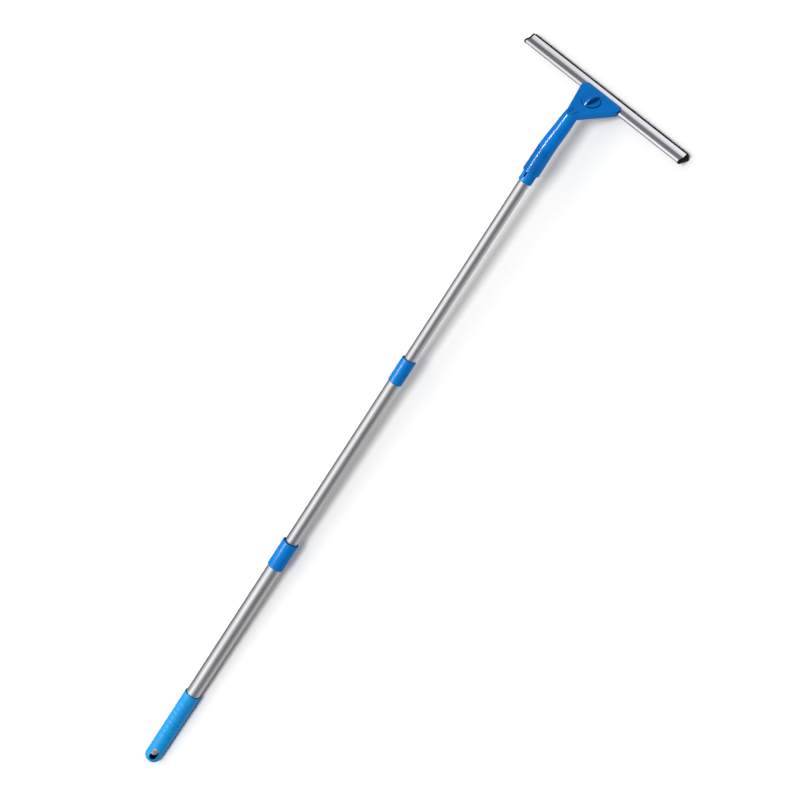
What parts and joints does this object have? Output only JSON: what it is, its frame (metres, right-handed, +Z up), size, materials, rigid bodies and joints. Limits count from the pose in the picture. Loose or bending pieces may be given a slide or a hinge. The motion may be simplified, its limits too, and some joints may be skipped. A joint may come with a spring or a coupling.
{
  "type": "window cleaning squeegee",
  "caption": "Window squeegee: rubber blade in an aluminium channel, clamped by a blue head on a telescopic pole with twist locks, collars and a ribbed end grip.",
  "frame": {"origin": "middle of the footprint, on the floor that the wiping edge and the grip's end rest on", "axes": "+Y from the grip to the head, +Z up to the knob's side, +X along the blade"},
  "size_m": [0.35, 1.4058, 0.0921],
  "materials": {
    "grip_plastic": "fine matte moulding",
    "collar_plastic": "smooth moulding",
    "head_plastic": "smooth moulding",
    "lock_plastic": "natural moulding",
    "tube_aluminium": "satin anodised",
    "channel_aluminium": "satin extruded",
    "clamp_steel": "zinc plated",
    "black_plastic": "fine matte moulding",
    "squeegee_rubber": "smooth cut rubber"
  },
  "bodies": {
    "pole_outer": {"end_grip": "grip_plastic", "outer_tube": "tube_aluminium", "lower_collar": "collar_plastic"},
    "lower_lock": {"lower_lock_cam": "lock_plastic"},
    "pole_middle": {"middle_tube": "tube_aluminium", "lower_lock_spindle": "lock_plastic", "lower_lock_pin": "clamp_steel", "upper_collar": "collar_plastic"},
    "upper_lock": {"upper_lock_cam": "lock_plastic"},
    "pole_upper": {"upper_tube": "tube_aluminium", "upper_lock_spindle": "lock_plastic", "upper_lock_pin": "clamp_steel", "tip_adapter": "collar_plastic"},
    "head": {"head_body": "head_plastic", "knob_washer": "clamp_steel"},
    "knob": {"clamp_knob": "head_plastic", "clamp_stud": "clamp_steel", "clamp_cross_pin": "clamp_steel"},
    "jaw": {"lower_jaw": "head_plastic", "clamp_spring_washer": "clamp_steel"},
    "blade": {"blade_channel": "channel_aluminium", "rubber_blade": "squeegee_rubber", "right_end_plug": "black_plastic", "left_end_plug": "black_plastic"}
  },
  "joints": [
    {"name": "lower_slide", "type": "slide", "parent": "pole_outer", "child": "lower_lock", "axis": [0, 0.9987, 0.05], "range_m": [-0.335, 0]},
    {"name": "lower_twist", "type": "hinge", "parent": "lower_lock", "child": "pole_middle", "pos_m": [0, -0.28173, 0.035], "axis": [0, 0.9987, 0.05], "range_deg": [0, 90]},
    {"name": "upper_slide", "type": "slide", "parent": "pole_middle", "child": "upper_lock", "axis": [0, 0.9987, 0.05], "range_m": [-0.34, 0]},
    {"name": "upper_twist", "type": "hinge", "parent": "upper_lock", "child": "pole_upper", "pos_m": [0, 0.11078, 0.05466], "axis": [0, 0.9987, 0.05], "range_deg": [0, 90]},
    {"name": "head_slide", "type": "slide", "parent": "pole_upper", "child": "head", "axis": [0, 0.9987, 0.05], "range_m": [0, 0.055]},
    {"name": "knob_turn", "type": "hinge", "parent": "head", "child": "knob", "pos_m": [0, 0.67807, 0.04507], "axis": [0, 0.7786, 0.6275], "range_deg": [0, 90]},
    {"name": "jaw_open", "type": "slide", "parent": "head", "child": "jaw", "axis": [0, -0.7786, -0.6275], "range_m": [0, 0.0018]},
    {"name": "blade_slide", "type": "slide", "parent": "head", "child": "blade", "axis": [1, 0, 0], "range_m": [-0.12, 0.12]}
  ],
  "couplings": [
    {"joint": "jaw_open", "follows": "knob_turn", "m_per_rad": 0.0011459}
  ]
}
